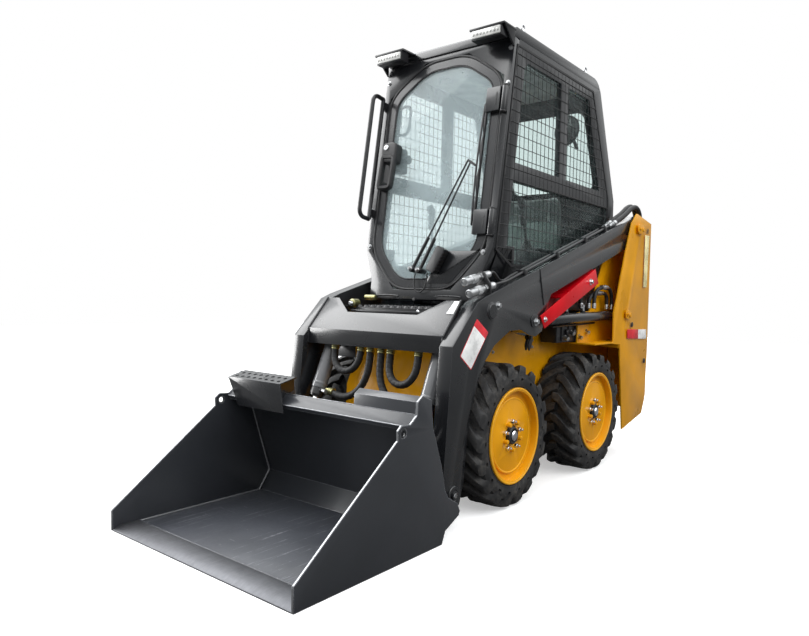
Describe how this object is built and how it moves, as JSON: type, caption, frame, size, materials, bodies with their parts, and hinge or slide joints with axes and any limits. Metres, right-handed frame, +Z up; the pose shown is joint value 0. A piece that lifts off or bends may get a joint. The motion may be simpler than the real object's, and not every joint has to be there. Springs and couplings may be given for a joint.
{
  "type": "skid steer loader",
  "caption": "Compact skid steer loader: enclosed cab with guarded windows and front door, radial lift arms, open bucket, lugged wheels and yellow tail uprights.",
  "frame": {"origin": "on the ground under the middle of the machine's length and width", "axes": "+X to the machine's left, the machine faces -Y, +Z up"},
  "size_m": [0.95, 2.8, 2.039],
  "materials": {
    "yellow_paint": "semi-gloss",
    "charcoal_paint": "satin",
    "black_paint": "satin",
    "red_paint": "gloss",
    "worn_steel": "scratched",
    "chrome": "polished",
    "plated_steel": "zinc plated",
    "cast_iron": "matt",
    "tyre_rubber": "matt",
    "clear_glass": "clear",
    "black_plastic": "matt",
    "seat_vinyl": "satin",
    "hose_rubber": "matt"
  },
  "bodies": {
    "chassis": {"chassis_side_left": "yellow_paint", "chassis_side_right": "yellow_paint", "chassis_floor": "yellow_paint", "chassis_front": "yellow_paint", "axle_housings": "yellow_paint", "front_step": "black_paint", "engine": "cast_iron", "tower_left": "yellow_paint", "tower_right": "yellow_paint", "rear_bumper": "yellow_paint", "arm_stops": "black_paint", "cab_front": "charcoal_paint", "cab_side_left": "charcoal_paint", "cab_side_right": "charcoal_paint", "cab_rear": "charcoal_paint", "cab_roof": "charcoal_paint", "cab_floor": "charcoal_paint", "cab_windows": "clear_glass", "side_screens": "black_paint", "seat_cushion": "seat_vinyl", "seat_back": "seat_vinyl", "cab_controls": "black_plastic", "work_lights": "black_paint", "lifting_eyes": "plated_steel", "grab_handle": "black_paint"},
    "cab_door": {"door_frame": "charcoal_paint", "door_glass": "clear_glass", "door_handle": "black_plastic"},
    "rear_door": {"rear_door": "charcoal_paint"},
    "hood": {"hood": "yellow_paint"},
    "lift_arm": {"arm_left": "charcoal_paint", "arm_right": "charcoal_paint", "arm_cross_plate": "charcoal_paint", "safety_strut": "red_paint", "aux_lines": "plated_steel", "hose_loop_left": "hose_rubber", "hose_loop_right": "hose_rubber", "hose_drop_left": "hose_rubber", "hose_drop_right": "hose_rubber"},
    "bucket": {"coupler": "charcoal_paint", "bucket_shell": "charcoal_paint", "bucket_side_left": "charcoal_paint", "bucket_side_right": "charcoal_paint", "bucket_ears": "charcoal_paint", "cutting_edge": "worn_steel", "bucket_step": "charcoal_paint"},
    "lift_barrels": {"lift_barrels": "charcoal_paint"},
    "lift_rods": {"lift_rods": "chrome"},
    "tilt_barrels": {"tilt_barrels": "charcoal_paint"},
    "tilt_rods": {"tilt_rods": "chrome"},
    "front_left_wheel": {"tyre_front_left": "tyre_rubber", "wheel_front_left": "yellow_paint"},
    "front_right_wheel": {"tyre_front_right": "tyre_rubber", "wheel_front_right": "yellow_paint"},
    "rear_left_wheel": {"tyre_rear_left": "tyre_rubber", "wheel_rear_left": "yellow_paint"},
    "rear_right_wheel": {"tyre_rear_right": "tyre_rubber", "wheel_rear_right": "yellow_paint"}
  },
  "joints": [
    {"name": "lift_arm", "type": "hinge", "parent": "chassis", "child": "lift_arm", "pos_m": [0, 1.199, 1.257], "axis": [-1, 0, 0], "range_deg": [0, 70]},
    {"name": "bucket_tilt", "type": "hinge", "parent": "lift_arm", "child": "bucket", "pos_m": [0, -0.583, 0.13], "axis": [1, 0, 0], "range_deg": [-25, 110]},
    {"name": "lift_barrel", "type": "hinge", "parent": "chassis", "child": "lift_barrels", "pos_m": [0, 1.042, 0.777], "axis": [-1, 0, 0], "range_deg": [0, 66.2]},
    {"name": "lift_rod", "type": "slide", "parent": "lift_barrels", "child": "lift_rods", "axis": [0, -0.9998, -0.0222], "range_m": [0, 0.567]},
    {"name": "tilt_barrel", "type": "hinge", "parent": "lift_arm", "child": "tilt_barrels", "pos_m": [0, -0.4435, 0.765], "axis": [1, 0, 0], "range_deg": [-0.25, 1.1]},
    {"name": "tilt_rod", "type": "slide", "parent": "tilt_barrels", "child": "tilt_rods", "axis": [0, -0.396, -0.9182], "range_m": [-0.0568, 0.2496]},
    {"name": "cab_door", "type": "hinge", "parent": "chassis", "child": "cab_door", "pos_m": [0.33, -0.24, 1.072], "axis": [0, 0.1478, 0.989], "range_deg": [0, 90]},
    {"name": "rear_door", "type": "hinge", "parent": "chassis", "child": "rear_door", "pos_m": [0.322, 1.394, 0.8], "axis": [0, 0, -1], "range_deg": [0, 105]},
    {"name": "hood", "type": "hinge", "parent": "chassis", "child": "hood", "pos_m": [0, 1.043, 1.254], "axis": [1, 0, 0], "range_deg": [0, 70]},
    {"name": "front_left_wheel", "type": "hinge", "parent": "chassis", "child": "front_left_wheel", "pos_m": [0.3425, -0.183, 0.2925], "axis": [1, 0, 0], "continuous": true},
    {"name": "front_right_wheel", "type": "hinge", "parent": "chassis", "child": "front_right_wheel", "pos_m": [-0.3425, -0.183, 0.2925], "axis": [1, 0, 0], "continuous": true},
    {"name": "rear_left_wheel", "type": "hinge", "parent": "chassis", "child": "rear_left_wheel", "pos_m": [0.3425, 0.644, 0.2925], "axis": [1, 0, 0], "continuous": true},
    {"name": "rear_right_wheel", "type": "hinge", "parent": "chassis", "child": "rear_right_wheel", "pos_m": [-0.3425, 0.644, 0.2925], "axis": [1, 0, 0], "continuous": true}
  ],
  "couplings": [
    {"joint": "lift_barrel", "follows": "lift_arm", "ratio": 0.945},
    {"joint": "lift_rod", "follows": "lift_arm", "m_per_rad": 0.4633},
    {"joint": "tilt_barrel", "follows": "bucket_tilt", "ratio": 0.01},
    {"joint": "tilt_rod", "follows": "bucket_tilt", "m_per_rad": 0.13},
    {"joint": "rear_left_wheel", "follows": "front_left_wheel", "ratio": 1},
    {"joint": "rear_right_wheel", "follows": "front_right_wheel", "ratio": 1}
  ]
}
